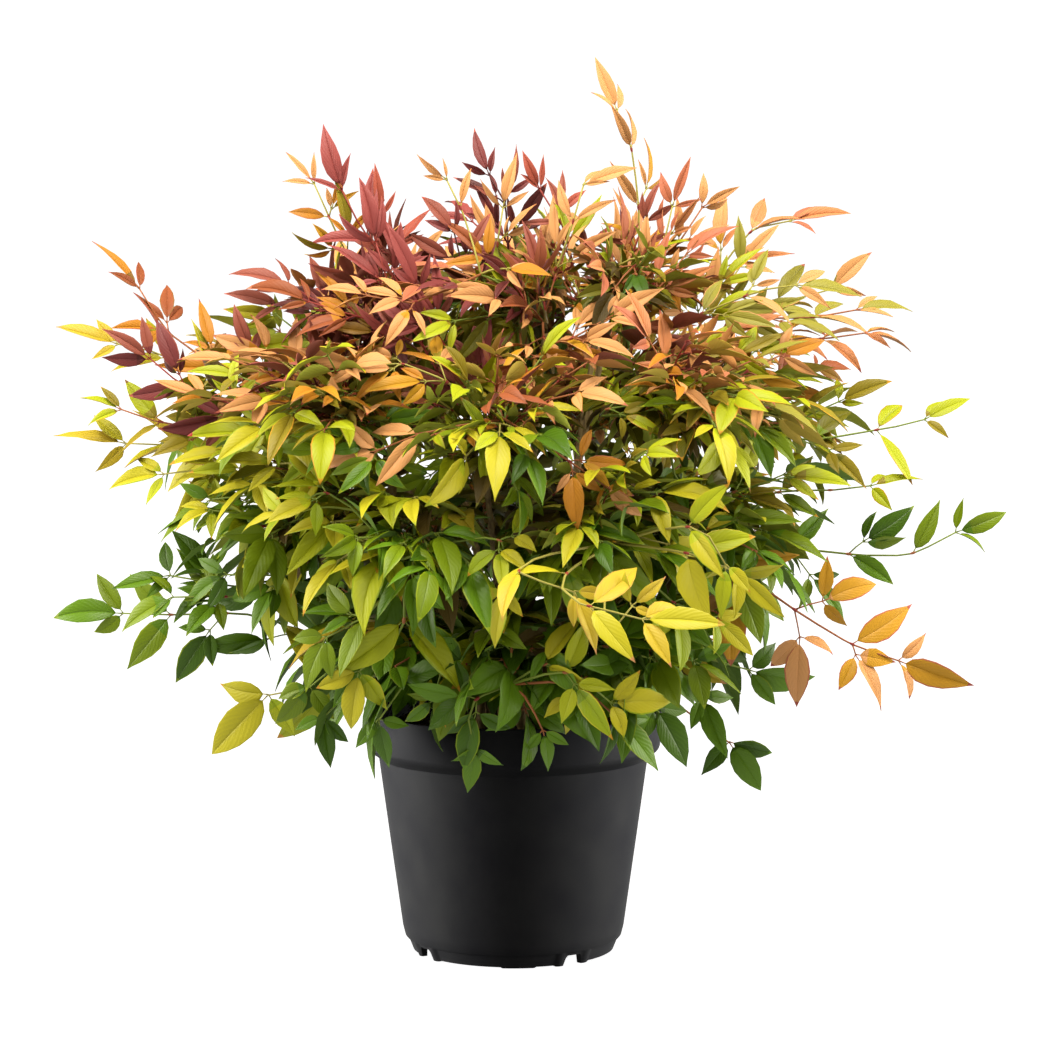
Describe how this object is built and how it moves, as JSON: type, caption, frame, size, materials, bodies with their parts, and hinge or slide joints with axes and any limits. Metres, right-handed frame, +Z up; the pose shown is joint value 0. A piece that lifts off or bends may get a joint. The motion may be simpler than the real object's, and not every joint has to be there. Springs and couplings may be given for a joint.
{
  "type": "heavenly bamboo shrub in a nursery pot",
  "caption": "Bushy shrub of thin canes and pointed leaflets in autumn tints, green below and red to orange above, growing in a tapered round nursery pot.",
  "frame": {"origin": "on the ground under the centre of the pot", "axes": "+Z up along the pot's axis, -Y towards the front as pictured, +X to the right"},
  "size_m": [0.727, 0.6418, 0.6859],
  "materials": {
    "pot_plastic": "satin",
    "growing_medium": "matte",
    "cane_bark": "matte",
    "leaf_green": "satin",
    "leaf_lime": "satin",
    "leaf_orange": "satin",
    "leaf_red": "satin"
  },
  "bodies": {
    "root": {"pot": "pot_plastic", "growing_medium": "growing_medium", "cane_1": "cane_bark", "cane_2": "cane_bark", "cane_3": "cane_bark", "cane_4": "cane_bark", "cane_5": "cane_bark", "cane_6": "cane_bark", "cane_7": "cane_bark", "cane_8": "cane_bark", "bough_1": "cane_bark", "bough_2": "cane_bark", "bough_3": "cane_bark", "bough_4": "cane_bark", "foliage_skirt_1": "leaf_green", "foliage_skirt_2": "leaf_green", "foliage_skirt_3": "leaf_green", "foliage_skirt_4": "leaf_green", "foliage_skirt_5": "leaf_green", "foliage_skirt_6": "leaf_green", "foliage_skirt_7": "leaf_green", "foliage_lower_1": "leaf_lime", "foliage_lower_2": "leaf_lime", "foliage_lower_3": "leaf_lime", "foliage_lower_4": "leaf_lime", "foliage_lower_5": "leaf_lime", "foliage_lower_6": "leaf_lime", "foliage_lower_7": "leaf_lime", "foliage_middle_1": "leaf_lime", "foliage_middle_2": "leaf_orange", "foliage_middle_3": "leaf_lime", "foliage_middle_4": "leaf_orange", "foliage_middle_5": "leaf_lime", "foliage_middle_6": "leaf_lime", "foliage_middle_7": "leaf_lime", "foliage_upper_1": "leaf_orange", "foliage_upper_2": "leaf_orange", "foliage_upper_3": "leaf_orange", "foliage_upper_4": "leaf_red", "foliage_upper_5": "leaf_red", "foliage_top": "leaf_orange", "spray_top": "leaf_orange", "spray_top_middle": "leaf_red", "spray_top_left": "leaf_red", "spray_top_right": "leaf_orange", "spray_left_high": "leaf_red", "spray_left_middle": "leaf_lime", "spray_left_low": "leaf_lime", "spray_left_foot": "leaf_green", "spray_right_high": "leaf_orange", "spray_right_middle": "leaf_lime", "spray_right_far": "leaf_lime", "spray_right_low": "leaf_orange", "spray_right_foot": "leaf_green", "spray_left_drop": "leaf_green", "spray_front_drop": "leaf_green", "spray_front": "leaf_lime", "spray_back": "leaf_lime", "spray_back_right": "leaf_lime"}
  },
  "joints": []
}
